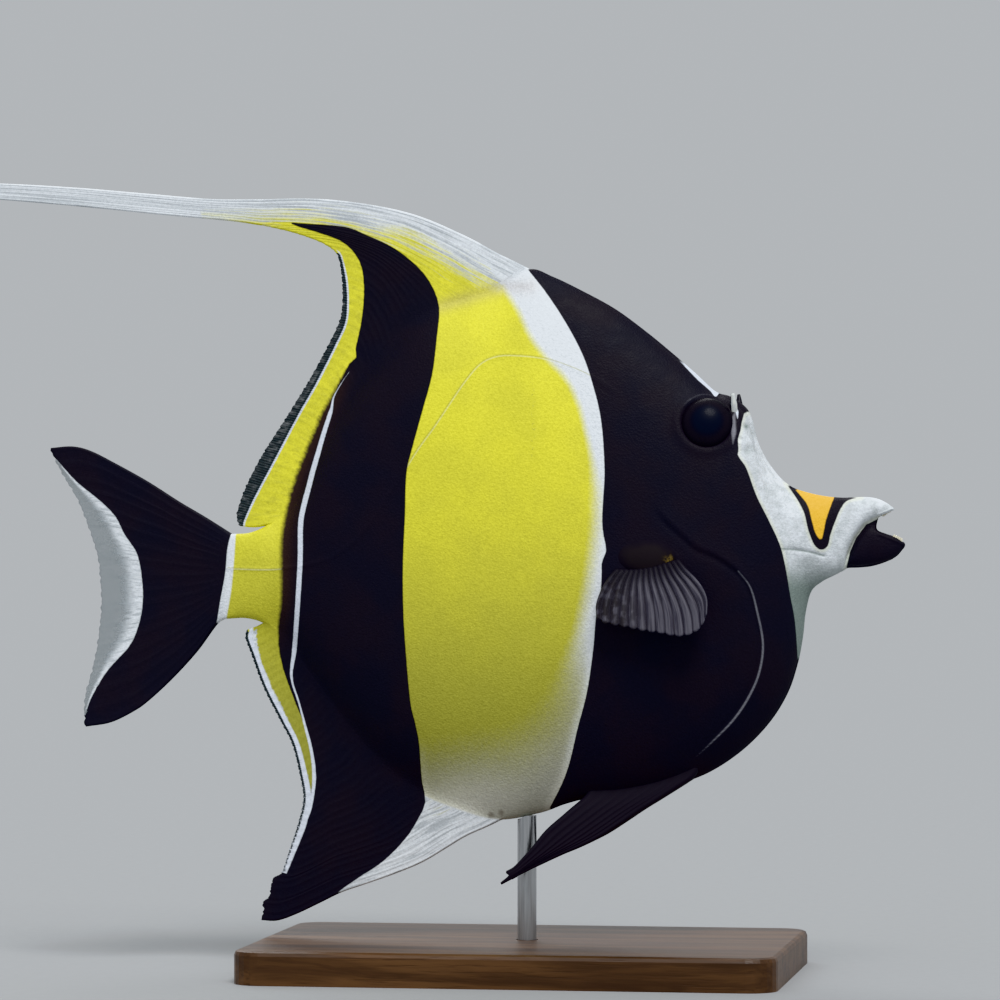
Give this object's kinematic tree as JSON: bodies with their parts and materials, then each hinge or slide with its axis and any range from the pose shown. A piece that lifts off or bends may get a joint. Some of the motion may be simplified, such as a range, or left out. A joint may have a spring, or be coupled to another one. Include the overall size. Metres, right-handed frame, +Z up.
{
  "type": "moorish idol fish model",
  "caption": "Life-size still model of a moorish idol, a flat banded reef fish with a long trailing back fin filament, held over a plain flat base by a short rod.",
  "frame": {"origin": "middle of the underside of the stand's base", "axes": "+Z up, +X the way the fish faces, +Y to the fish's left"},
  "size_m": [0.247, 0.074, 0.1672],
  "materials": {
    "black_skin": "satin painted skin, very dark brown to blue black",
    "yellow_skin": "satin painted skin, lemon yellow",
    "white_skin": "satin painted skin, cool white",
    "smoky_fin": "thin smoky grey fin",
    "eye_gloss": "polished dark eye",
    "horn_bone": "satin pale bone",
    "stand_wood": "oiled dark wood",
    "rod_steel": "brushed"
  },
  "bodies": {
    "root": {"head": "black_skin", "gill_cover_left": "black_skin", "gill_cover_right": "black_skin", "snout": "white_skin", "upper_jaw": "white_skin", "lower_jaw": "black_skin", "torso": "yellow_skin", "tail_base": "yellow_skin", "eye_left": "eye_gloss", "eye_right": "eye_gloss", "horn_left": "horn_bone", "horn_right": "horn_bone", "dorsal_fin": "yellow_skin", "dorsal_filament": "white_skin", "anal_fin": "black_skin", "caudal_fin": "black_skin", "pectoral_fin_left": "smoky_fin", "pectoral_fin_right": "smoky_fin", "pelvic_fin_left": "black_skin", "pelvic_fin_right": "black_skin", "stand_base": "stand_wood", "stand_rod": "rod_steel"}
  },
  "joints": []
}
